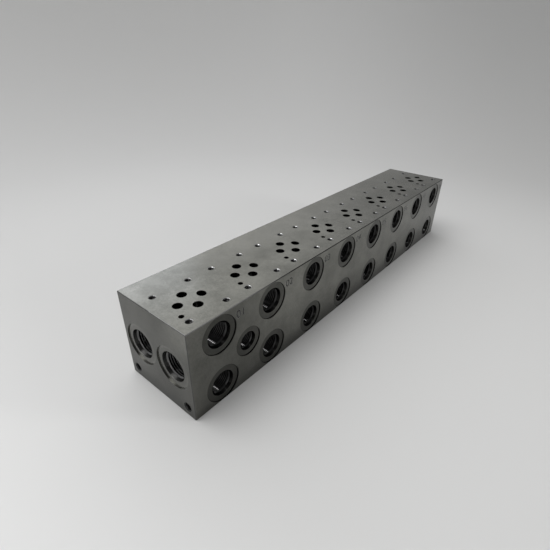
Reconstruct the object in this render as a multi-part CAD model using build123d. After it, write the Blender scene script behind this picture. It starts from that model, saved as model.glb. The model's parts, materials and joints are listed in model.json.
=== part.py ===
from build123d import *
import os
from math import atan, cos, degrees, radians, tan

# Eight-station bar manifold for size 03 (NG6) directional valves: one machined bar.
#
# The block is modelled in millimetres. X runs along the bar, +Y points to its plain back face and
# +Z points up out of the valve pads. The origin is the centre of the bottom face.
# Each valve's P and T holes run down into two galleries that pass through the whole bar, and its
# B and A holes run down to the upper and lower port below it in the front face.
# Tapped holes and ports are cut to the major diameter of their threads.

INCH = 25.4

# ---- the bar ------------------------------------------------------------------------------
STATIONS = 8
STATION_PITCH = 2.125 * INCH
END_TO_FIRST_STATION = 1.0625 * INCH
BAR_DEPTH = 3.0 * INCH
BAR_HEIGHT = 3.0 * INCH
EDGE_BREAK = 0.5

BAR_LENGTH = 2 * END_TO_FIRST_STATION + (STATIONS - 1) * STATION_PITCH
FRONT_Y = -BAR_DEPTH / 2
TOP_Z = BAR_HEIGHT

# ---- valve pad: rows are measured back from the front bolt row --------------------------------
FRONT_BOLT_ROW_FROM_FACE = 9.65
FRONT_BOLT_SPACING = 32.5
REAR_BOLT_ROW = 40.5
REAR_BOLT_SPACING = 31.0
BOLT_THREAD_DIAMETER = 4.83
BOLT_HOLE_DEPTH = 16.0
BOLT_COUNTERSINK_DIAMETER = 5.6
PIN_ROW = 7.5
PIN_HOLE_DIAMETER = 4.0
PIN_HOLE_DEPTH = 8.0
PRESSURE_TANK_ROW = 19.0
PRESSURE_TANK_SPACING = 20.8
PORT_A_ROW = 27.8
PORT_B_ROW = 10.3
VALVE_DRILL_DIAMETER = 7.5
TANK_DRILL_DIAMETER = 17 / 64 * INCH

# ---- galleries ------------------------------------------------------------------------------
GALLERY_DIAMETER = 11 / 16 * INCH
GALLERY_HEIGHT = 38.1
GALLERY_SPACING = 36.0
PRESSURE_GALLERY_AHEAD_OF_ITS_DRILLS = 8.55
TANK_DRILL_SHORT_OF_GALLERY_AXIS = 5.45

# ---- ports in the front face ------------------------------------------------------------------
UPPER_PORT_HEIGHT = 60.3
LOWER_PORT_HEIGHT = 15.9
CROSS_BORE_DIAMETER = 13 / 32 * INCH
CROSS_BORE_OVERRUN = 0.4
GAUGE_PORT_AFTER_STATION = 1

# ---- straight-thread port forms: spotface, seal cone and threaded bore --------------------------
FRONT_SPOTFACE_DEPTH = 0.5
END_SPOTFACE_DEPTH = 0.95
DRILL_POINT_ANGLE = 118.0
WORKING_PORT = dict(
    thread_diameter=0.75 * INCH,
    bore_depth=18.2,
    seal_width=0.78,
    seal_depth=2.54,
    spotface_width=4.95,
    spotface_depth=FRONT_SPOTFACE_DEPTH,
)
END_PORT = dict(
    thread_diameter=0.875 * INCH,
    bore_depth=20.0,
    seal_width=0.84,
    seal_depth=2.54,
    spotface_width=5.1,
    spotface_depth=END_SPOTFACE_DEPTH,
)
GAUGE_PORT = dict(
    thread_diameter=0.5625 * INCH,
    bore_depth=15.5,
    seal_width=0.66,
    seal_depth=2.48,
    spotface_width=4.6,
    spotface_depth=FRONT_SPOTFACE_DEPTH,
)

# ---- tapped mounting holes in both ends -------------------------------------------------------
FOOT_THREAD_DIAMETER = 5 / 16 * INCH
FOOT_HOLE_DEPTH = 14.3
FOOT_HOLE_HEIGHT = 8.3
FOOT_HOLE_FROM_SIDE = 7.9


# ---- where things lie -------------------------------------------------------------------------
front_bolt_y = FRONT_Y + FRONT_BOLT_ROW_FROM_FACE
rear_bolt_y = front_bolt_y + REAR_BOLT_ROW
pin_y = front_bolt_y + PIN_ROW
pressure_tank_y = front_bolt_y + PRESSURE_TANK_ROW
port_a_y = front_bolt_y + PORT_A_ROW
port_b_y = front_bolt_y + PORT_B_ROW
pressure_gallery_y = pressure_tank_y - PRESSURE_GALLERY_AHEAD_OF_ITS_DRILLS
tank_gallery_y = pressure_gallery_y + GALLERY_SPACING


def station_x(station):
    """The centre of a station along the bar, counted from 1 at the low-X end."""
    return -BAR_LENGTH / 2 + END_TO_FIRST_STATION + (station - 1) * STATION_PITCH


def into_top(tool, x, y, tilt=0.0):
    """Place a tool in the top face, its lower end tilted towards the back by tilt degrees."""
    return Pos(x, y, TOP_Z) * Rot(tilt, 0, 0) * tool


def into_front(tool, x, z):
    """Place a tool in the front face, cutting towards the back."""
    return Pos(x, FRONT_Y, z) * Rot(90, 0, 0) * tool


def into_end(tool, y, z, side):
    """Place a tool in an end face: side is -1 for the low-X end and +1 for the high-X end."""
    return Pos(side * BAR_LENGTH / 2, y, z) * Rot(0, side * 90, 0) * tool


# ---- cutting tools, each with its mouth at z = 0 and cutting down along -Z ------------------------
def turned(outline):
    """A tool turned about Z from the (radius, height) points of its outline, mouth first."""
    mouth_centre = (0, outline[0][1])
    return revolve(make_face(Plane.XZ * Polyline(mouth_centre, *outline, close=True)), Axis.Z)


def blind_hole(diameter, depth):
    """A flat-bottomed hole."""
    return Cylinder(diameter / 2, depth, align=(Align.CENTER, Align.CENTER, Align.MAX))


def countersunk_hole(diameter, depth, countersink_diameter):
    """A flat-bottomed hole with a 90 degree countersink."""
    radius, mouth = diameter / 2, countersink_diameter / 2
    return turned([(mouth, 0), (radius, radius - mouth), (radius, -depth), (0, -depth)])


def drill_point(diameter):
    """How far a drill's cone runs on past its full diameter."""
    return diameter / 2 / tan(radians(DRILL_POINT_ANGLE / 2))


def drilling(diameter, depth, start=0.0):
    """A drilled hole, at full diameter from start down to depth and then its drill point."""
    radius = diameter / 2
    return turned([(radius, start), (radius, -depth), (0, -depth - drill_point(diameter))])


def sealed_port(
    thread_diameter, bore_depth, seal_width, seal_depth, spotface_width, spotface_depth
):
    """A port for a straight-thread fitting, which seals on a ring in the cone."""
    thread_radius = thread_diameter / 2
    seal_radius = thread_radius + seal_width
    spotface_radius = seal_radius + spotface_width
    floor = -spotface_depth
    return turned(
        [
            (spotface_radius, 0),
            (spotface_radius, floor),
            (seal_radius, floor),
            (thread_radius, floor - seal_depth),
            (thread_radius, floor - bore_depth),
            (0, floor - bore_depth - drill_point(thread_diameter)),
        ]
    )


# ---- the machining, by operation ----------------------------------------------------------------
def bar():
    """The sawn and milled bar with every outer edge broken."""
    blank = Box(BAR_LENGTH, BAR_DEPTH, BAR_HEIGHT, align=(Align.CENTER, Align.CENTER, Align.MIN))
    return chamfer(blank.edges(), EDGE_BREAK)


def valve_fixings(x):
    """The four tapped holes that hold one valve, and the blind hole for its locating pin."""
    hole = countersunk_hole(BOLT_THREAD_DIAMETER, BOLT_HOLE_DEPTH, BOLT_COUNTERSINK_DIAMETER)
    rows = ((front_bolt_y, FRONT_BOLT_SPACING), (rear_bolt_y, REAR_BOLT_SPACING))
    tools = [into_top(hole, x + side * spacing / 2, y) for y, spacing in rows for side in (-1, 1)]
    pin = blind_hole(PIN_HOLE_DIAMETER, PIN_HOLE_DEPTH)
    return tools + [into_top(pin, x - FRONT_BOLT_SPACING / 2, pin_y)]


def valve_drillings(x):
    """One valve's P, T, A and B drillings, each down to the gallery or port that it joins."""
    gallery_depth = TOP_Z - GALLERY_HEIGHT
    side = PRESSURE_TANK_SPACING / 2
    pressure = drilling(VALVE_DRILL_DIAMETER, gallery_depth)
    tank_run_back = tank_gallery_y - TANK_DRILL_SHORT_OF_GALLERY_AXIS - pressure_tank_y
    tilt = atan(tank_run_back / gallery_depth)
    tank = drilling(TANK_DRILL_DIAMETER, gallery_depth / cos(tilt), TANK_DRILL_DIAMETER * tan(tilt))
    return [
        into_top(pressure, x - side, pressure_tank_y),
        into_top(tank, x + side, pressure_tank_y, degrees(tilt)),
        into_top(drilling(VALVE_DRILL_DIAMETER, TOP_Z - LOWER_PORT_HEIGHT), x, port_a_y),
        into_top(drilling(VALVE_DRILL_DIAMETER, TOP_Z - UPPER_PORT_HEIGHT), x, port_b_y),
    ]


def working_ports(x):
    """One station's two front ports. A cross bore carries the lower one back to its drilling."""
    port = sealed_port(**WORKING_PORT)
    reach = port_a_y - FRONT_Y + VALVE_DRILL_DIAMETER / 2 + CROSS_BORE_OVERRUN
    return [
        into_front(port, x, UPPER_PORT_HEIGHT),
        into_front(port, x, LOWER_PORT_HEIGHT),
        into_front(drilling(CROSS_BORE_DIAMETER, reach), x, LOWER_PORT_HEIGHT),
    ]


def galleries():
    """The pressure gallery at the front and the tank gallery behind it, with a port at each end."""
    through = Rot(0, 90, 0) * Cylinder(GALLERY_DIAMETER / 2, BAR_LENGTH)
    port = sealed_port(**END_PORT)
    tools = []
    for y in (pressure_gallery_y, tank_gallery_y):
        tools.append(Pos(0, y, GALLERY_HEIGHT) * through)
        tools += [into_end(port, y, GALLERY_HEIGHT, side) for side in (-1, 1)]
    return tools


def gauge_port():
    """The small port between two stations that opens into the pressure gallery."""
    x = station_x(GAUGE_PORT_AFTER_STATION) + STATION_PITCH / 2
    return into_front(sealed_port(**GAUGE_PORT), x, GALLERY_HEIGHT)


def foot_holes():
    """The tapped mounting holes near the lower corners of both ends."""
    hole = blind_hole(FOOT_THREAD_DIAMETER, FOOT_HOLE_DEPTH)
    y = BAR_DEPTH / 2 - FOOT_HOLE_FROM_SIDE
    ends_and_edges = [(side, edge) for side in (-1, 1) for edge in (-1, 1)]
    return [into_end(hole, edge * y, FOOT_HOLE_HEIGHT, side) for side, edge in ends_and_edges]


def manifold_block():
    """The finished block: the bar with every drilling, port and tapped hole cut from it."""
    tools = galleries() + foot_holes() + [gauge_port()]
    for station in range(1, STATIONS + 1):
        x = station_x(station)
        tools += valve_fixings(x) + valve_drillings(x) + working_ports(x)
    return bar() - tools


os.makedirs("parts", exist_ok=True)
export_step(manifold_block(), "parts/manifold_block.step")
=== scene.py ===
# The looks of an eight-station bar manifold: machined iron, its cut threads, its stamped
# station numbers, and the pale stage that it stands on. Everything is in metres, in the frame
# of the block: X along the bar, -Y its ported front face, +Z up out of the valve pads.
import json
from math import cos, pi, radians, sin, tan
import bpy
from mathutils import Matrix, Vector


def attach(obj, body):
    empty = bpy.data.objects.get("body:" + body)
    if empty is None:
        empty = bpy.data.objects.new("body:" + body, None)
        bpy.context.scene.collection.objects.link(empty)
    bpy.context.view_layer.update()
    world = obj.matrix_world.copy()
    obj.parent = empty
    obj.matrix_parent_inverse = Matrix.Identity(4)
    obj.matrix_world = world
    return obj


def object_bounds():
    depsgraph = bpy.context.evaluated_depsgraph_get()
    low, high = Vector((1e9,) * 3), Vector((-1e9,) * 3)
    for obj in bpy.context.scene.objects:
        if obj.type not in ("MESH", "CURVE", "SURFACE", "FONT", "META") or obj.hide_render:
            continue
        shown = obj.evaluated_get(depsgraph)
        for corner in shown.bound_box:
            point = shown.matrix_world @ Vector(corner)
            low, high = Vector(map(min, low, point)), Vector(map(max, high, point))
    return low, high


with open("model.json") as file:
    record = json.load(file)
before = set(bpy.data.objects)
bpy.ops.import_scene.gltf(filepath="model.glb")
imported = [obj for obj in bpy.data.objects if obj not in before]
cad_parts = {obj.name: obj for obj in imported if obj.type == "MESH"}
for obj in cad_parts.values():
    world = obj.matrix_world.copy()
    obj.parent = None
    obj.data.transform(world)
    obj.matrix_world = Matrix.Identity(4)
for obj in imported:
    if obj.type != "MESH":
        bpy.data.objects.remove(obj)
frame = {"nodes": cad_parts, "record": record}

from types import SimpleNamespace

import bmesh
import bpy
from mathutils import Matrix, Vector

BLOCK = frame["nodes"]["manifold_block"]
CAD_LOW, CAD_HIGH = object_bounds()
MOUNTS = {mount["name"]: mount for mount in frame["record"]["mounts"]}
MM = 0.001
INCH = 0.0254

# ---- the block's machined forms, as depths below the face that each one is cut in ------------
EDGE_BREAK = 0.5 * MM
FRONT_SPOTFACE_DEPTH = 0.5 * MM
END_SPOTFACE_DEPTH = 0.95 * MM
SEAL_DEPTH = 2.54 * MM
GAUGE_SEAL_DEPTH = 2.48 * MM
COUNTERSINK_DEPTH = 0.385 * MM
STATIONS = 8
STATION_PITCH = 2.125 * INCH
FIRST_STATION = -3.5 * STATION_PITCH
UPPER_PORT_HEIGHT = 60.3 * MM
LOWER_PORT_HEIGHT = 15.9 * MM
GALLERY_HEIGHT = 38.1 * MM
GALLERY_FROM_MIDDLE = 18.0 * MM
WORKING_SPOTFACE_RADIUS = 15.255 * MM
END_SPOTFACE_RADIUS = 17.0525 * MM
GAUGE_SPOTFACE_RADIUS = 12.40375 * MM
FACE_SLACK = 0.02 * MM

# ---- threads: pitches, the depths that they run down to, and their ridges --------------------
WORKING_PITCH = INCH / 16
END_PITCH = INCH / 14
GAUGE_PITCH = INCH / 18
VALVE_BOLT_PITCH = INCH / 24
FOOT_BOLT_PITCH = INCH / 18
WORKING_THREAD_END = 15.5 * MM
END_THREAD_END = 18.3 * MM
GAUGE_THREAD_END = 11.0 * MM
VALVE_BOLT_THREAD_END = 14.5 * MM
FOOT_BOLT_THREAD_START = 0.1 * MM
FOOT_BOLT_THREAD_END = 12.7 * MM
PORT_STEPS_PER_TURN = 48
VALVE_BOLT_STEPS_PER_TURN = 20
FOOT_BOLT_STEPS_PER_TURN = 24
RUN_OUT_TURNS = 0.4
SHARP_BEYOND = radians(50)
RIDGE_ROOT = 0.08 * MM
RIDGE_EDGE = 0.02 * MM
THREAD_DEPTH_PER_PITCH = 0.54
CREST_ROUNDING_PER_PITCH = 0.12
FLANK_ANGLE = radians(30)
CREST_TURNS = [radians(turn) for turn in (60, 30, 0, -30, -60)]


# ---- small helpers ---------------------------------------------------------------------------
def add_object(name, data):
    """A new object in the scene, at the origin."""
    made = bpy.data.objects.new(name, data)
    bpy.context.scene.collection.objects.link(made)
    return made


def mesh_object(name, shape, materials=()):
    """A mesh object from a bmesh, which is freed."""
    mesh = bpy.data.meshes.new(name)
    shape.to_mesh(mesh)
    shape.free()
    for material in materials:
        mesh.materials.append(material)
    return add_object(name, mesh)


def across(axis):
    """A turn that carries +Z to a hole's axis, which points out of its mouth."""
    return Vector(axis).to_track_quat("Z", "Y").to_matrix().to_4x4()


# ---- threads ---------------------------------------------------------------------------------
def ridge_section(depth, start, wall_radius, height, pitch):
    """The ridge's outline where it winds past a depth: (radius, depth) points, round at the crest.

    A 45 degree cone through the wall at the depth start cuts its upper side away.
    """
    rounding = min(CREST_ROUNDING_PER_PITCH * pitch, height)
    centre = wall_radius - height + rounding
    crest = [(centre - rounding * cos(turn), rounding * sin(turn)) for turn in CREST_TURNS]
    root_radius = wall_radius + RIDGE_ROOT
    spread = crest[0][1] + (root_radius - crest[0][0]) * tan(FLANK_ANGLE)
    outline = [(root_radius, spread)] + crest + [(root_radius, -spread)]
    cut = []
    for number, (radius, below) in enumerate(outline):
        sliver = RIDGE_EDGE * (1 - number / len(outline))
        cut.append((radius, max(depth + below, start + max(0.0, wall_radius - radius) + sliver)))
    return cut


def add_thread(shape, place, radius, pitch, start, end, steps_per_turn):
    """One right-hand thread as a closed ridge that winds up the wall of its hole.

    start and end are depths below the mouth, which lies at the origin of place.
    """
    full_height = THREAD_DEPTH_PER_PITCH * pitch
    steps = int(((end - start) / pitch + RUN_OUT_TURNS) * steps_per_turn)
    rings = []
    for step in range(steps + 1):
        turn = step / steps_per_turn
        height = min(full_height, max(turn * full_height, RIDGE_EDGE))
        angle = 2 * pi * turn
        section = ridge_section(end - turn * pitch, start, radius, height, pitch)
        rings.append([
            shape.verts.new(place @ Vector((r * cos(angle), r * sin(angle), -depth)))
            for r, depth in section
        ])
    around = len(rings[0])
    for lower, upper in zip(rings, rings[1:]):
        for this in range(around):
            following = (this + 1) % around
            shape.faces.new((lower[this], lower[following], upper[following], upper[this]))
    shape.faces.new(rings[0])
    shape.faces.new(reversed(rings[-1]))


def threads_piece(name, mounts, pitch, start, end, steps_per_turn, material):
    """The threads of several like holes as one piece, one closed ridge in each hole."""
    shape = bmesh.new()
    for mouth, axis, radius in mounts:
        place = Matrix.Translation(mouth) @ across(axis)
        add_thread(shape, place, radius, pitch, start, end, steps_per_turn)
    bmesh.ops.recalc_face_normals(shape, faces=shape.faces)
    for face in shape.faces:
        face.smooth = True
    piece = mesh_object(name, shape, [material])
    piece.data.set_sharp_from_angle(angle=SHARP_BEYOND)
    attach(piece, "root")


def mouth_of(mount):
    """Where a hole's axis meets the face that the hole is cut in."""
    mouth, axis = Vector(mount["pos_m"]), Vector(mount["axis"])
    for i in range(3):
        if abs(axis[i]) > 0.5:
            mouth[i] = CAD_HIGH[i] if axis[i] > 0 else CAD_LOW[i]
    return mouth


def holes(word):
    """(mouth, axis, wall radius) of every threaded hole whose name holds the word."""
    found = [mount for name, mount in MOUNTS.items() if word in name]
    return [(mouth_of(m), m["axis"], m["dims"]["r_mm"] * MM) for m in found]


def bolt_holes():
    """(mouth, axis, wall radius) of every valve bolt hole: two to each row of a pad."""
    found = []
    for name, mount in MOUNTS.items():
        if "valve_bolts" in name:
            half = Vector((mount["dims"]["spacing_x_mm"] * MM / 2, 0, 0))
            radius = mount["dims"]["hole_r_mm"] * MM
            found += [(mouth_of(mount) + side * half, mount["axis"], radius) for side in (-1, 1)]
    return found


# ---- node helpers ----------------------------------------------------------------------------
def new_material(name):
    """A material, the tree to build it in, and its Principled shader."""
    material = bpy.data.materials.new(name)
    material.use_nodes = True
    return material, Tree(material.node_tree), material.node_tree.nodes["Principled BSDF"]


class Tree:
    """A node tree that is built from left to right, one call to a node."""

    def __init__(self, tree):
        self.tree = tree

    def add(self, kind, **settings):
        node = self.tree.nodes.new(kind)
        for key, value in settings.items():
            setattr(node, key, value)
        return node

    def feed(self, socket, value):
        """A socket's value, from another socket or as a constant."""
        if isinstance(value, bpy.types.NodeSocket):
            self.tree.links.new(value, socket)
        else:
            socket.default_value = value

    def math(self, operation, *values):
        node = self.add("ShaderNodeMath", operation=operation)
        for socket, value in zip(node.inputs, values):
            self.feed(socket, value)
        return node.outputs[0]

    def product(self, first, *others):
        """All the values multiplied together, such as masks that must all hold."""
        for other in others:
            first = self.math("MULTIPLY", first, other)
        return first

    def total(self, first, *others):
        for other in others:
            first = self.math("ADD", first, other)
        return first

    def length(self, vector):
        node = self.add("ShaderNodeVectorMath", operation="LENGTH")
        self.feed(node.inputs[0], vector)
        return node.outputs["Value"]

    def split(self, vector):
        node = self.add("ShaderNodeSeparateXYZ")
        self.feed(node.inputs[0], vector)
        return node.outputs

    def join(self, x=0.0, y=0.0, z=0.0):
        node = self.add("ShaderNodeCombineXYZ")
        for socket, value in zip(node.inputs, (x, y, z)):
            self.feed(socket, value)
        return node.outputs[0]

    def ramp(self, value, low, high, to_low=0.0, to_high=1.0, smooth=True):
        """value carried from low..high to to_low..to_high, held at both ends."""
        kind = "SMOOTHSTEP" if smooth else "LINEAR"
        node = self.add("ShaderNodeMapRange", interpolation_type=kind)
        for socket, number in zip(node.inputs, (value, low, high, to_low, to_high)):
            self.feed(socket, number)
        return node.outputs[0]

    def noise(self, place, scale, detail, roughness):
        node = self.add("ShaderNodeTexNoise")
        self.feed(node.inputs["Vector"], place)
        self.feed(node.inputs["Scale"], scale)
        self.feed(node.inputs["Detail"], detail)
        self.feed(node.inputs["Roughness"], roughness)
        return node.outputs["Fac"]

    def between(self, share, first, second):
        """A number between two, by share."""
        node = self.add("ShaderNodeMix", data_type="FLOAT")
        for name, value in (("Factor", share), ("A", first), ("B", second)):
            self.feed(node.inputs[name], value)
        return node.outputs["Result"]

    def grey(self, tone):
        """A colour from one tone."""
        return self.join(tone, tone, tone)

    def mix(self, share, first, second):
        """A colour mixed from two by share."""
        node = self.add("ShaderNodeMix", data_type="RGBA")
        self.feed(node.inputs["Factor"], share)
        self.feed(node.inputs["A"], first)
        self.feed(node.inputs["B"], second)
        return node.outputs["Result"]

    def group(self, group, **values):
        """A placed node group: its inputs by name, with _ for a space."""
        node = self.add("ShaderNodeGroup", node_tree=group)
        for name, value in values.items():
            self.feed(node.inputs[name.replace("_", " ")], value)
        return node.outputs


def new_group(name, inputs, outputs):
    """An empty node group with its sockets: name to (kind, value) for inputs, name to kind."""
    group = bpy.data.node_groups.new(name, "ShaderNodeTree")
    for socket, (kind, value) in inputs.items():
        made = group.interface.new_socket(socket, in_out="INPUT", socket_type=kind)
        if value is not None:
            made.default_value = value
    for socket, kind in outputs.items():
        group.interface.new_socket(socket, in_out="OUTPUT", socket_type=kind)
    tree = Tree(group)
    return group, tree, tree.add("NodeGroupInput").outputs, tree.add("NodeGroupOutput").inputs


NUMBER, PLACE = "NodeSocketFloat", "NodeSocketVector"


def object_place(tree):
    """The place on the object that is being shaded, in metres."""
    return tree.add("ShaderNodeTexCoord").outputs["Object"]


# ---- finishes --------------------------------------------------------------------------------
def face_distances():
    """How deep a place lies below the bar's nearest outer face, with masks for what is near it."""
    inputs = {"Place": (PLACE, None), "Half length": (NUMBER, 0.2), "Half depth": (NUMBER, 0.04)}
    inputs["Height"] = (NUMBER, 0.08)
    inputs["Edge break"] = (NUMBER, 0.0005)
    outputs = {"Depth": NUMBER, "Broken edge": NUMBER, "Upright edge": NUMBER, "By an end": NUMBER}
    group, tree, given, out = new_group("face_distances", inputs, outputs)
    x, y, z = tree.split(given["Place"])[:3]
    from_end = tree.math("SUBTRACT", given["Half length"], tree.math("ABSOLUTE", x))
    from_side = tree.math("SUBTRACT", given["Half depth"], tree.math("ABSOLUTE", y))
    from_top = tree.math("MINIMUM", z, tree.math("SUBTRACT", given["Height"], z))
    nearer = tree.math("MINIMUM", from_end, from_side)
    nearest = tree.math("MINIMUM", nearer, from_top)
    second = tree.math("MINIMUM", tree.math("MAXIMUM", from_end, from_side),
                       tree.math("MAXIMUM", nearer, from_top))
    off_the_face = tree.math("GREATER_THAN", nearest, FACE_SLACK)
    by_an_edge = tree.math("LESS_THAN", second, given["Edge break"])
    broken = tree.product(off_the_face, by_an_edge)
    off_top = tree.math("GREATER_THAN", from_top, given["Edge break"])
    just_short_of_second = tree.math("SUBTRACT", second, 0.001 * MM)
    tree.feed(out["Depth"], nearest)
    tree.feed(out["Broken edge"], broken)
    tree.feed(out["Upright edge"], tree.product(broken, off_top))
    tree.feed(out["By an end"], tree.math("LESS_THAN", from_end, just_short_of_second))
    return group


# The direction in which the painted shade of the front spotfaces leans, towards the lower right:
SHADE_RIGHTWARD, SHADE_DOWNWARD = 0.75, 0.66


def port_distances():
    """How far a place lies from the nearest port's axis, in radii of its spotface.

    The second value is how far it lies towards the lower right of the nearest front port, in
    the same radii.
    """
    inputs = {
        "Place": (PLACE, None),
        "First station": (NUMBER, -0.19),
        "Pitch": (NUMBER, 0.054),
        "Upper height": (NUMBER, 0.06),
        "Lower height": (NUMBER, 0.016),
        "Gallery height": (NUMBER, 0.038),
        "Gallery from middle": (NUMBER, 0.018),
        "Front radius": (NUMBER, 0.015),
        "Gauge radius": (NUMBER, 0.012),
        "End radius": (NUMBER, 0.017),
        "By an end": (NUMBER, 0.0),
    }
    outputs = {"Spotface radii": NUMBER, "Lower right": NUMBER}
    group, tree, given, out = new_group("port_distances", inputs, outputs)
    x, y, z = tree.split(given["Place"])[:3]

    def apart(across, up, radius):
        return tree.math("DIVIDE", tree.length(tree.join(across, up)), radius)

    pitches = tree.math("DIVIDE", tree.math("SUBTRACT", x, given["First station"]), given["Pitch"])
    off_whole = tree.math("SUBTRACT", pitches, tree.math("ROUND", pitches))
    off_station = tree.product(given["Pitch"], off_whole)
    in_upper_row = tree.math("GREATER_THAN", z, given["Gallery height"])
    row = tree.between(in_upper_row, given["Lower height"], given["Upper height"])
    off_row = tree.math("SUBTRACT", z, row)
    off_gallery = tree.math("SUBTRACT", z, given["Gallery height"])
    working = apart(off_station, off_row, given["Front radius"])
    off_gauge = tree.product(given["Pitch"], tree.math("SUBTRACT", pitches, 0.5))
    gauge = apart(off_gauge, off_gallery, given["Gauge radius"])
    off_line = tree.math("SUBTRACT", tree.math("ABSOLUTE", y), given["Gallery from middle"])
    end = apart(off_line, off_gallery, given["End radius"])
    front = tree.math("MINIMUM", working, gauge)
    tree.feed(out["Spotface radii"], tree.between(given["By an end"], front, end))

    def lower_right(across, up, radius):
        along_it = tree.total(tree.product(across, SHADE_RIGHTWARD), tree.product(up, -SHADE_DOWNWARD))
        return tree.math("DIVIDE", along_it, radius)

    by_gauge = tree.math("LESS_THAN", gauge, working)
    at_working = lower_right(off_station, off_row, given["Front radius"])
    at_gauge = lower_right(off_gauge, off_gallery, given["Gauge radius"])
    tree.feed(out["Lower right"], tree.between(by_gauge, at_working, at_gauge))
    return group


def clouding():
    """Soft patches of lighter and darker metal, two sizes together, about zero."""
    inputs = {"Place": (PLACE, None), "Size": (NUMBER, 0.02), "Fine size": (NUMBER, 0.004)}
    inputs["Fine share"] = (NUMBER, 0.35)
    group, tree, given, out = new_group("clouding", inputs, {"Cloud": NUMBER})
    per_metre = tree.math("DIVIDE", 1.0, given["Size"])
    wide = tree.noise(given["Place"], per_metre, detail=4.0, roughness=0.55)
    fine_per_metre = tree.math("DIVIDE", 1.0, given["Fine size"])
    fine = tree.noise(given["Place"], fine_per_metre, detail=3.0, roughness=0.6)
    mixed = tree.between(given["Fine share"], wide, fine)
    tree.feed(out["Cloud"], tree.math("SUBTRACT", mixed, 0.5))
    return group


def milling_marks():
    """Fine lines left along the bar by the cutter."""
    inputs = {"Place": (PLACE, None), "Line spacing": (NUMBER, 0.0008), "Stretch": (NUMBER, 30.0)}
    group, tree, given, out = new_group("milling_marks", inputs, {"Mark": NUMBER})
    x, y, z = tree.split(given["Place"])[:3]
    drawn_out = tree.join(tree.math("DIVIDE", x, given["Stretch"]), y, z)
    per_metre = tree.math("DIVIDE", 1.0, given["Line spacing"])
    line = tree.noise(drawn_out, per_metre, detail=2.0, roughness=0.5)
    tree.feed(out["Mark"], tree.math("SUBTRACT", line, 0.5))
    return group


# ---- the bar's iron: its tones ---------------------------------------------------------------
IRON_DARK = (0.146, 0.147, 0.132, 1)
IRON_LIGHT = (0.234, 0.233, 0.212, 1)
# Painted shade: a dark tone for the dark room and floor that the front, the ends and the top
# reflect.
PAINTED_SHADE_TONE = (0.03, 0.03, 0.028, 1)
# Painted highlight: a light tone for the window's reflection in the top.
TOP_PAINTED_HIGHLIGHT = (0.36, 0.358, 0.33, 1)
# Painted shade: a near-black tone for the shade in the front spotfaces, by their walls and to
# their lower right.
SPOTFACE_PAINTED_SHADE = (0.008, 0.008, 0.007, 1)
# Freshly cut iron of the end spotfaces, made lighter towards the rim as a painted highlight.
FRESH_CUT_AND_HIGHLIGHT = (0.30, 0.30, 0.28, 1)
# Painted shade: near-black tones for the shade deep in the seal cones and the bores.
FRONT_CONE = (0.022, 0.022, 0.021, 1)
END_CONE = (0.035, 0.035, 0.034, 1)
BORE = (0.02, 0.02, 0.02, 1)
# Painted shade: the darker tones of the broken edges on the back, the ends and the upright edges.
BACK_EDGE, END_EDGE, UPRIGHT_EDGE = 0.17, 0.12, 0.09
EDGE_SHARE = 0.9

# ---- its clouding: wide patches and small specks, each with a finer size mixed in ------------
PATCH_SIZE, PATCH_FINE_SIZE, PATCH_FINE_SHARE = 45 * MM, 9 * MM, 0.3
SPECK_SIZE, SPECK_FINE_SIZE, SPECK_FINE_SHARE = 2.4 * MM, 1.2 * MM, 0.4
SPECK_SHARE = 0.35
TONE_RANGE = (-0.2, 0.2)

# ---- how thin a layer counts as the face itself, and how wide a broken edge is ---------------
EDGE_REACH = 1.2 * EDGE_BREAK
FRONT_LAYER, SPOTFACE_LAYER, TOP_LAYER = 0.01 * MM, 0.1 * MM, 1.0 * MM

# ---- where each tone lies: from, to, and its share at the one and at the other ---------------
# Painted shade on the front face: darker towards both ends and along its foot.
FRONT_SHADE_NEAR = (-175 * MM, -105 * MM, 0.40, 0.0)
FRONT_SHADE_FAR = (60 * MM, 215 * MM, 0.0, 0.38)
FRONT_SHADE_FOOT = (2 * MM, 18 * MM, 0.62, 0.0)
# Painted shade on the end faces: darkest along the foot, less in the upper front corner.
END_SHADE = (10 * MM, 60 * MM, 0.60, 0.54)
END_SHADE_FOOT = (3 * MM, 18 * MM, 0.24, 0.0)
END_SHADE_BACK = (14 * MM, 36 * MM, 0.0, 0.09)
END_LESS_SHADE_ACROSS = (-34 * MM, -8 * MM, 0.42, 0.0)
END_LESS_SHADE_UP = (48 * MM, 70 * MM, 0.0, 1.0)
# Painted highlight on the top, near its back and its low-X end:
TOP_HIGHLIGHT_ACROSS = (-6 * MM, 20 * MM, 0.0, 0.25)
TOP_HIGHLIGHT_ALONG = (-175 * MM, -130 * MM, 0.0, 1.0)
# Painted shade on the top, towards its front at the low-X end:
TOP_SHADE_ACROSS = (-36 * MM, -20 * MM, 0.15, 0.0)
TOP_SHADE_ALONG = (-175 * MM, -110 * MM, 0.0, 1.0)
# Painted highlight on the front's broken edges, brightest near the low-X end:
EDGE_PAINTED_HIGHLIGHT = (-170 * MM, -105 * MM, 0.42, 0.02)
# Painted highlight in the countersinks, brightest near the low-X end:
COUNTERSINK_PAINTED_HIGHLIGHT = (-180 * MM, 85 * MM, 0.62, 0.1)
# Painted shade in the front spotfaces, stronger near the low-X end:
SPOTFACE_SHADE_NEAR = (-175 * MM, -150 * MM, 0.07, 0.0)
CONE_START = (0.05 * MM, 0.15 * MM)
BORE_START = (2.3 * MM, 2.8 * MM)

# ---- the same in radii of a port's spotface --------------------------------------------------
PORT_EDGE = 1.01
# Painted shade in the front spotfaces, along their walls and towards their lower right:
SPOTFACE_SHADE_RING = (0.945, 0.985, 0.64, 0.85)
SHADE_SIDE = (0.3, 0.62)
SHADE_INSIDE = (0.93, 0.965, 0.0, 0.97)
SHADE_OUTSIDE = (1.03, 1.06, 0.85, 0.0)
SHADE_OUTSIDE_START = 0.99
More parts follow.
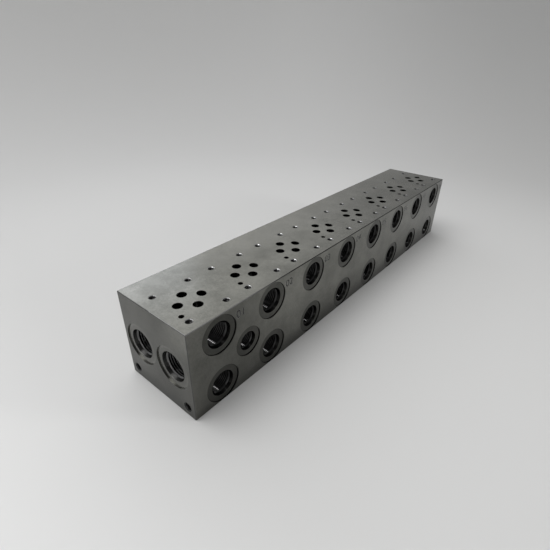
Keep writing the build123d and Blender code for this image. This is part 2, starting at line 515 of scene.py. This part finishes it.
# Freshly cut end spotfaces, with a painted highlight towards the rim:
FRESH_HIGHLIGHT_RING = (0.82, 0.93, 0.1, 0.32)

# ---- its surface -----------------------------------------------------------------------------
IRON_ROUGHNESS = (-0.25, 0.25, 0.25, 0.19)
MARK_SPACING, MARK_STRETCH = 0.9 * MM, 40.0
TURNED_RINGS, TURNED_RING_HEIGHT = 30, 0.5
CONE_RING_SPACING, CONE_RING_HEIGHT = 0.65 * MM, 6.0
RELIEF, RELIEF_STRENGTH = 0.01 * MM, 0.25
COUNTERSINK_LEAST_UP, COUNTERSINK_MOST_UP = 0.6, 0.8


def place_on_bar(tree, place, face_group, port_group):
    """Where a place lies on the bar: its coordinates, depths and masks."""
    faces = tree.group(
        face_group,
        Place=place,
        Half_length=CAD_HIGH.x,
        Half_depth=CAD_HIGH.y,
        Height=CAD_HIGH.z,
        Edge_break=EDGE_REACH,
    )
    port = tree.group(
        port_group,
        Place=place,
        First_station=FIRST_STATION,
        Pitch=STATION_PITCH,
        Upper_height=UPPER_PORT_HEIGHT,
        Lower_height=LOWER_PORT_HEIGHT,
        Gallery_height=GALLERY_HEIGHT,
        Gallery_from_middle=GALLERY_FROM_MIDDLE,
        Front_radius=WORKING_SPOTFACE_RADIUS,
        Gauge_radius=GAUGE_SPOTFACE_RADIUS,
        End_radius=END_SPOTFACE_RADIUS,
        By_an_end=faces["By an end"],
    )
    at = SimpleNamespace(depth=faces["Depth"], at_end=faces["By an end"])
    at.x, at.y, at.z = tree.split(place)[:3]
    at.broken, at.upright = faces["Broken edge"], faces["Upright edge"]
    at.radii = port["Spotface radii"]
    at.lower_right = tree.ramp(port["Lower right"], *SHADE_SIDE)
    at.on_front = tree.math("LESS_THAN", at.y, CAD_LOW.y + FRONT_LAYER)
    at.on_top = tree.math("GREATER_THAN", at.z, CAD_HIGH.z - TOP_LAYER)
    at.below = tree.math("GREATER_THAN", at.depth, FACE_SLACK)
    spotface_depth = tree.between(at.at_end, FRONT_SPOTFACE_DEPTH, END_SPOTFACE_DEPTH)
    at.below_spotface = tree.math("SUBTRACT", at.depth, spotface_depth)
    shallow = tree.math("LESS_THAN", at.below_spotface, SPOTFACE_LAYER)
    in_port = tree.math("LESS_THAN", at.radii, PORT_EDGE)
    at.spotface = tree.product(at.below, shallow, in_port)
    at.cone = tree.ramp(at.below_spotface, *CONE_START)
    return at


def painted_shade_of_front(tree, at):
    """How much painted shade the front face has: towards both ends, and along its foot."""
    towards_ends = tree.total(tree.ramp(at.x, *FRONT_SHADE_NEAR), tree.ramp(at.x, *FRONT_SHADE_FAR))
    share = tree.math("MAXIMUM", towards_ends, tree.ramp(at.z, *FRONT_SHADE_FOOT))
    return tree.product(at.on_front, share)


def painted_shade_of_ends(tree, at):
    """How much painted shade an end face has: most along its foot, least in its upper front
    corner.
    """
    less_shade = tree.product(tree.ramp(at.y, *END_LESS_SHADE_ACROSS), tree.ramp(at.z, *END_LESS_SHADE_UP))
    share = tree.math("SUBTRACT", tree.ramp(at.z, *END_SHADE), less_shade)
    share = tree.total(share, tree.ramp(at.z, *END_SHADE_FOOT), tree.ramp(at.y, *END_SHADE_BACK))
    return tree.product(at.at_end, share)


def outer_faces(tree, at, cloud):
    """The clouded iron of the outer faces, with painted shade and painted highlights from place to
    place.
    """
    iron = tree.mix(tree.ramp(cloud, *TONE_RANGE), IRON_DARK, IRON_LIGHT)
    painted_shade = tree.math("MAXIMUM", painted_shade_of_front(tree, at), painted_shade_of_ends(tree, at))
    # Painted shade on the front and on the ends.
    iron = tree.mix(painted_shade, iron, PAINTED_SHADE_TONE)
    # Painted highlight on the top, near its back at the low-X end.
    top_highlight = tree.product(tree.ramp(at.y, *TOP_HIGHLIGHT_ACROSS), tree.ramp(at.x, *TOP_HIGHLIGHT_ALONG))
    iron = tree.mix(tree.product(top_highlight, at.on_top), iron, TOP_PAINTED_HIGHLIGHT)
    # Painted shade on the top, towards its front at the low-X end.
    top_shade = tree.product(tree.ramp(at.y, *TOP_SHADE_ACROSS), tree.ramp(at.x, *TOP_SHADE_ALONG))
    return tree.mix(tree.product(top_shade, at.on_top), iron, PAINTED_SHADE_TONE)


def port_faces(tree, at, iron):
    """The spotfaces: painted shade in front, most to the lower right; in the ends, freshly cut
    with a painted highlight.
    """
    # Painted shade by the wall and to the lower right of each front spotface, and just outside it.
    lower_right_shade = tree.product(at.lower_right, tree.ramp(at.radii, *SHADE_INSIDE))
    spotface_shade = tree.math("MAXIMUM", tree.ramp(at.radii, *SPOTFACE_SHADE_RING), lower_right_shade)
    spotface_shade = tree.total(spotface_shade, tree.ramp(at.x, *SPOTFACE_SHADE_NEAR))
    off_end = tree.math("SUBTRACT", 1.0, at.at_end)
    iron = tree.mix(tree.product(at.spotface, off_end, spotface_shade), iron, SPOTFACE_PAINTED_SHADE)
    outside = tree.math("GREATER_THAN", at.radii, SHADE_OUTSIDE_START)
    outside = tree.product(tree.ramp(at.radii, *SHADE_OUTSIDE), outside, at.lower_right, at.on_front)
    iron = tree.mix(outside, iron, SPOTFACE_PAINTED_SHADE)
    # The end spotfaces: freshly cut, with a painted highlight towards the rim.
    fresh_highlight = tree.product(at.spotface, at.at_end, tree.ramp(at.radii, *FRESH_HIGHLIGHT_RING))
    return tree.mix(fresh_highlight, iron, FRESH_CUT_AND_HIGHLIGHT)


def broken_edges(tree, at, iron):
    """The broken edges: a painted highlight near the low-X end of the front, darker painted shade
    elsewhere.
    """
    on_back = tree.math("GREATER_THAN", at.y, 0.0)
    tone = tree.between(on_back, tree.ramp(at.x, *EDGE_PAINTED_HIGHLIGHT), BACK_EDGE)
    tone = tree.between(at.at_end, tone, END_EDGE)
    tone = tree.between(at.upright, tone, UPRIGHT_EDGE)
    return tree.mix(tree.product(at.broken, EDGE_SHARE), iron, tree.grey(tone))


def countersinks(tree, at, iron):
    """The countersinks of the valve bolt holes: bright cut metal with a painted highlight,
    brightest near the low-X end.
    """
    facing_up = tree.split(tree.add("ShaderNodeNewGeometry").outputs["True Normal"])[2]
    steep = tree.math("GREATER_THAN", facing_up, COUNTERSINK_LEAST_UP)
    not_flat = tree.math("LESS_THAN", facing_up, COUNTERSINK_MOST_UP)
    off_edges = tree.math("SUBTRACT", 1.0, at.broken)
    share = tree.product(steep, not_flat, at.below, off_edges, at.on_top)
    return tree.mix(share, iron, tree.grey(tree.ramp(at.x, *COUNTERSINK_PAINTED_HIGHLIGHT)))


def bores(tree, at, iron):
    """The dark seal cones of the ports, and the bores below them, whose darkness is painted shade.
    """
    cone_tone = tree.mix(at.at_end, FRONT_CONE, END_CONE)
    iron = tree.mix(at.cone, iron, cone_tone)
    return tree.mix(tree.ramp(at.below_spotface, *BORE_START), iron, BORE)


def tool_marks(tree, at, milled):
    """The lines that the cutters left: milled along the bar, and turned in the ports."""
    turned = tree.math("SINE", tree.product(at.radii, 2 * pi * TURNED_RINGS))
    coned = tree.math("SINE", tree.product(at.depth, 2 * pi / CONE_RING_SPACING))
    return tree.total(
        milled,
        tree.product(turned, TURNED_RING_HEIGHT, at.spotface),
        tree.product(coned, CONE_RING_HEIGHT, at.cone),
    )


def machined_iron(name, face_group, port_group, cloud_group, mark_group):
    """The bar's dark machined iron, from its outer faces down into its bores."""
    material, tree, shader = new_material(name)
    place = object_place(tree)
    at = place_on_bar(tree, place, face_group, port_group)
    patch = tree.group(
        cloud_group,
        Place=place,
        Size=PATCH_SIZE,
        Fine_size=PATCH_FINE_SIZE,
        Fine_share=PATCH_FINE_SHARE,
    )["Cloud"]
    speck = tree.group(
        cloud_group,
        Place=place,
        Size=SPECK_SIZE,
        Fine_size=SPECK_FINE_SIZE,
        Fine_share=SPECK_FINE_SHARE,
    )["Cloud"]
    milled = tree.group(
        mark_group, Place=place, Line_spacing=MARK_SPACING, Stretch=MARK_STRETCH
    )["Mark"]

    iron = outer_faces(tree, at, tree.total(patch, tree.product(speck, SPECK_SHARE)))
    for finish in (port_faces, broken_edges, countersinks, bores):
        iron = finish(tree, at, iron)
    tree.feed(shader.inputs["Base Color"], iron)
    tree.feed(shader.inputs["Metallic"], 1.0)
    tree.feed(shader.inputs["Roughness"], tree.ramp(patch, *IRON_ROUGHNESS))
    bump = tree.add("ShaderNodeBump")
    tree.feed(bump.inputs["Strength"], RELIEF_STRENGTH)
    tree.feed(bump.inputs["Distance"], RELIEF)
    tree.feed(bump.inputs["Height"], tool_marks(tree, at, milled))
    tree.feed(shader.inputs["Normal"], bump.outputs[0])
    return material


# ---- the metal of threads and numbers --------------------------------------------------------
CUT_CLOUD_SIZE, CUT_CLOUD_FINE_SIZE = 6 * MM, 1 * MM
CUT_CLOUD_RANGE = (-0.25, 0.25)
DARK_ROUGHER = 1.2


def cut_metal(name, cloud_group, dark, light, roughness):
    """Cut or stamped metal between two grey tones, a little rougher where it is dark."""
    material, tree, shader = new_material(name)
    cloud = tree.group(
        cloud_group,
        Place=object_place(tree),
        Size=CUT_CLOUD_SIZE,
        Fine_size=CUT_CLOUD_FINE_SIZE,
    )["Cloud"]
    share = tree.ramp(cloud, *CUT_CLOUD_RANGE)
    rough = tree.ramp(cloud, *CUT_CLOUD_RANGE, DARK_ROUGHER * roughness, roughness)
    colour = tree.mix(share, (dark, dark, dark, 1), (light, light, light, 1))
    tree.feed(shader.inputs["Base Color"], colour)
    tree.feed(shader.inputs["Metallic"], 1.0)
    tree.feed(shader.inputs["Roughness"], rough)
    return material


# ---- station numbers -------------------------------------------------------------------------
NUMBER_SIZE = 9.0 * MM
NUMBER_FROM_PORT = 20.5 * MM
NUMBER_HEIGHT = 64.5 * MM
NUMBER_ROOT = 0.2 * MM
NUMBER_PROUD = 0.008 * MM
RIM_PROUD = 0.004 * MM
RIM_WIDTH = 0.09 * MM
CURVE_STEPS = 3
WELD = 1e-7


def number_mesh(number, offset, proud):
    """One station's number as closed plates let into the front face, proud of it by a hair."""
    text = bpy.data.curves.new("number", "FONT")
    text.body = "%02d" % number
    text.size = NUMBER_SIZE
    text.align_x = "CENTER"
    text.offset = offset
    text.resolution_u = CURVE_STEPS
    text.extrude = (NUMBER_ROOT + proud) / 2
    carrier = bpy.data.objects.new("number", text)
    mesh = bpy.data.meshes.new_from_object(carrier)
    bpy.data.objects.remove(carrier)
    x = FIRST_STATION + (number - 1) * STATION_PITCH + NUMBER_FROM_PORT
    y = CAD_LOW.y + (NUMBER_ROOT - proud) / 2
    mesh.transform(Matrix.Translation((x, y, NUMBER_HEIGHT)) @ Matrix.Rotation(pi / 2, 4, "X"))
    return mesh


def station_numbers(name, offset, proud, material):
    """The numbers of all the stations, along the top of the front face, as one piece."""
    shape = bmesh.new()
    for number in range(1, STATIONS + 1):
        mesh = number_mesh(number, offset, proud)
        shape.from_mesh(mesh)
        bpy.data.meshes.remove(mesh)
    bmesh.ops.remove_doubles(shape, verts=shape.verts, dist=WELD)
    bmesh.ops.recalc_face_normals(shape, faces=shape.faces)
    piece = mesh_object(name, shape, [material])
    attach(piece, "root")


# ---- the stage -------------------------------------------------------------------------------
FLOOR_RADIUS = 0.55
STAGE_CURVE = 0.6
STAGE_TURN = radians(75)
STAGE_STEPS = 12
STAGE_SIDES = 96
STAGE_WELD = 1e-5
# Painted light on the stage: lighter to the left, painted shade far out to the front and right.
CLOTH_LEFT = (0.78, 0.78, 0.775, 1)
CLOTH_NEAR = (0.63, 0.63, 0.625, 1)
CLOTH_FAR = (0.41, 0.41, 0.405, 1)
LEFT_TO_NEAR = (-0.42, -0.2)
NEAR_TO_FAR = (-0.05, 0.8)
FAR_RIGHTWARD, FAR_FORWARD = 0.65, 0.76
CLOTH_ROUGHNESS, CLOTH_SHEEN = 0.9, 0.1


def stage_cloth(name):
    """The plain pale stage with painted light: lighter to the left, darker far out to the front
    and right.
    """
    material, tree, shader = new_material(name)
    x, y = tree.split(object_place(tree))[:2]
    near = tree.mix(tree.ramp(x, *LEFT_TO_NEAR), CLOTH_LEFT, CLOTH_NEAR)
    away = tree.total(tree.product(x, FAR_RIGHTWARD), tree.product(y, -FAR_FORWARD))
    colour = tree.mix(tree.ramp(away, *NEAR_TO_FAR), near, CLOTH_FAR)
    tree.feed(shader.inputs["Base Color"], colour)
    tree.feed(shader.inputs["Roughness"], CLOTH_ROUGHNESS)
    tree.feed(shader.inputs["Specular IOR Level"], CLOTH_SHEEN)
    return material


def stage():
    """A round floor whose rim sweeps up into a low wall. Low views see the room above it."""
    profile = [(0.0, 0.0), (FLOOR_RADIUS, 0.0)]
    for step in range(1, STAGE_STEPS + 1):
        turn = step / STAGE_STEPS * STAGE_TURN
        out = FLOOR_RADIUS + STAGE_CURVE * sin(turn)
        profile.append((out, STAGE_CURVE * (1 - cos(turn))))
    shape = bmesh.new()
    points = [shape.verts.new((r, 0, z)) for r, z in profile]
    for first, second in zip(points, points[1:]):
        shape.edges.new((first, second))
    bmesh.ops.spin(
        shape, geom=shape.verts[:] + shape.edges[:], axis=(0, 0, 1), cent=(0, 0, 0),
        angle=2 * pi, steps=STAGE_SIDES,
    )
    bmesh.ops.remove_doubles(shape, verts=shape.verts, dist=STAGE_WELD)
    bmesh.ops.recalc_face_normals(shape, faces=shape.faces)
    for face in shape.faces:
        face.smooth = True
    floor = mesh_object("stage_floor", shape, [stage_cloth("pale_stage")])


# ---- light -----------------------------------------------------------------------------------
WHITE = (1.0, 1.0, 1.0)
DAYLIGHT = (0.94, 0.99, 1.12)
ROOM_UPWARD = (0.0, 0.5, 0.45, 1.15)
ROOM_BACKWARD = (-0.3, 0.6, 0.25, 1.0)
ROOM_FAR_RIGHT = (0.4, 1.0, 1.0, 0.6)
ROOM_FAR_LEFT = (-0.9, -0.2, 0.5, 1.0)


def soft_lamp(name, direction, distance, width, height, brightness, tint=WHITE):
    """A soft rectangular lamp that looks at the block; brightness is the glow of its face."""
    lamp = bpy.data.lights.new(name, "AREA")
    lamp.color = tint
    lamp.shape = "RECTANGLE"
    lamp.size = width
    lamp.size_y = height
    lamp.energy = pi * width * height * brightness
    made = add_object(name, lamp)
    towards = Vector(direction).normalized()
    made.location = Vector((0, 0, CAD_HIGH.z / 2)) + distance * towards
    made.rotation_euler = towards.to_track_quat("Z", "Y").to_euler()
    made.visible_camera = False


def lamps():
    """A window behind the block, a lamp overhead, and a small window out to its front right."""
    soft_lamp(
        "window", direction=(0.2116, 0.8487, 0.4848), distance=1.7,
        width=0.9, height=0.42, brightness=1.1, tint=DAYLIGHT,
    )
    soft_lamp(
        "overhead", direction=(-0.38, 0.22, 1.0), distance=1.2,
        width=0.8, height=0.8, brightness=3.5,
    )
    soft_lamp(
        "side_window", direction=(0.42, -0.856, 0.29), distance=1.0,
        width=0.18, height=0.20, brightness=21.0,
    )


def world_light():
    """A plain soft room: bright above and behind the block, dimmer to its sides and in front."""
    world = bpy.data.worlds.new("soft_room")
    world.use_nodes = True
    tree = Tree(world.node_tree)
    back = world.node_tree.nodes["Background"]
    back.inputs["Color"].default_value = (*WHITE, 1)
    x, y, z = tree.split(tree.add("ShaderNodeTexCoord").outputs["Generated"])[:3]
    strength = tree.product(
        tree.ramp(x, *ROOM_FAR_RIGHT, smooth=False),
        tree.ramp(x, *ROOM_FAR_LEFT, smooth=False),
        tree.ramp(z, *ROOM_UPWARD, smooth=False),
        tree.ramp(y, *ROOM_BACKWARD),
    )
    tree.feed(back.inputs["Strength"], strength)
    bpy.context.scene.world = world


# ---- camera ----------------------------------------------------------------------------------
CAMERA_PLACE = Vector((-0.321536, -0.195390, 0.226776))
CAMERA_LOOKS = Vector((0.66256, 0.55055, -0.50785))
CAMERA_UP = Vector((0.38117, 0.33583, 0.86135))
CAMERA_LENS_MM = 25.438
CAMERA_SENSOR_MM = 36.0
CAMERA_NEAR = 0.01


def camera():
    """The camera, at the viewing angle that shows the top, the ported face and one end."""
    lens = bpy.data.cameras.new("camera")
    lens.sensor_width = CAMERA_SENSOR_MM
    lens.lens = CAMERA_LENS_MM
    lens.clip_start = CAMERA_NEAR
    made = add_object("camera", lens)
    right = CAMERA_LOOKS.cross(CAMERA_UP).normalized()
    up = right.cross(CAMERA_LOOKS).normalized()
    turn = Matrix((right, up, -CAMERA_LOOKS.normalized())).transposed()
    made.matrix_world = Matrix.Translation(CAMERA_PLACE) @ turn.to_4x4()
    bpy.context.scene.camera = made


# ---- the pieces ------------------------------------------------------------------------------
clouds = clouding()
BLOCK.material_slots[0].material = machined_iron(
    "machined_iron", face_distances(), port_distances(), clouds, milling_marks()
)
# Cut metal of the threads, kept dark as painted shade for the shade deep in the holes.
port_cut = cut_metal("cut_port_threads", clouds, dark=0.024, light=0.05, roughness=0.07)
end_cut = cut_metal("cut_end_port_threads", clouds, dark=0.08, light=0.15, roughness=0.15)
bolt_cut = cut_metal("cut_bolt_threads", clouds, dark=0.03, light=0.08, roughness=0.16)
# Painted shade on the floors of the stamped numbers, and a painted highlight on their rims.
stamped = cut_metal("stamped_floor_painted_shade", clouds, dark=0.008, light=0.018, roughness=0.35)
stamped_rim_painted_highlight = cut_metal("stamped_rim_painted_highlight", clouds, dark=0.25, light=0.45, roughness=0.25)

threads_piece(
    "working_port_threads", holes("port_a") + holes("port_b"), WORKING_PITCH,
    FRONT_SPOTFACE_DEPTH + SEAL_DEPTH, WORKING_THREAD_END, PORT_STEPS_PER_TURN, port_cut,
)
threads_piece(
    "end_port_threads", holes("port_p") + holes("port_t"), END_PITCH,
    END_SPOTFACE_DEPTH + SEAL_DEPTH, END_THREAD_END, PORT_STEPS_PER_TURN, end_cut,
)
threads_piece(
    "gauge_port_thread", holes("port_gauge"), GAUGE_PITCH,
    FRONT_SPOTFACE_DEPTH + GAUGE_SEAL_DEPTH, GAUGE_THREAD_END, PORT_STEPS_PER_TURN, port_cut,
)
threads_piece(
    "valve_bolt_threads", bolt_holes(), VALVE_BOLT_PITCH,
    COUNTERSINK_DEPTH, VALVE_BOLT_THREAD_END, VALVE_BOLT_STEPS_PER_TURN, bolt_cut,
)
threads_piece(
    "foot_bolt_threads", holes("foot_bolt"), FOOT_BOLT_PITCH,
    FOOT_BOLT_THREAD_START, FOOT_BOLT_THREAD_END, FOOT_BOLT_STEPS_PER_TURN, port_cut,
)
# The rims carry a painted highlight, the floors painted shade.
station_numbers("station_number_rim_highlights", RIM_WIDTH, RIM_PROUD, stamped_rim_painted_highlight)
station_numbers("station_numbers", 0.0, NUMBER_PROUD, stamped)

stage()
world_light()
lamps()
camera()
bpy.context.scene.view_settings.view_transform = "Standard"
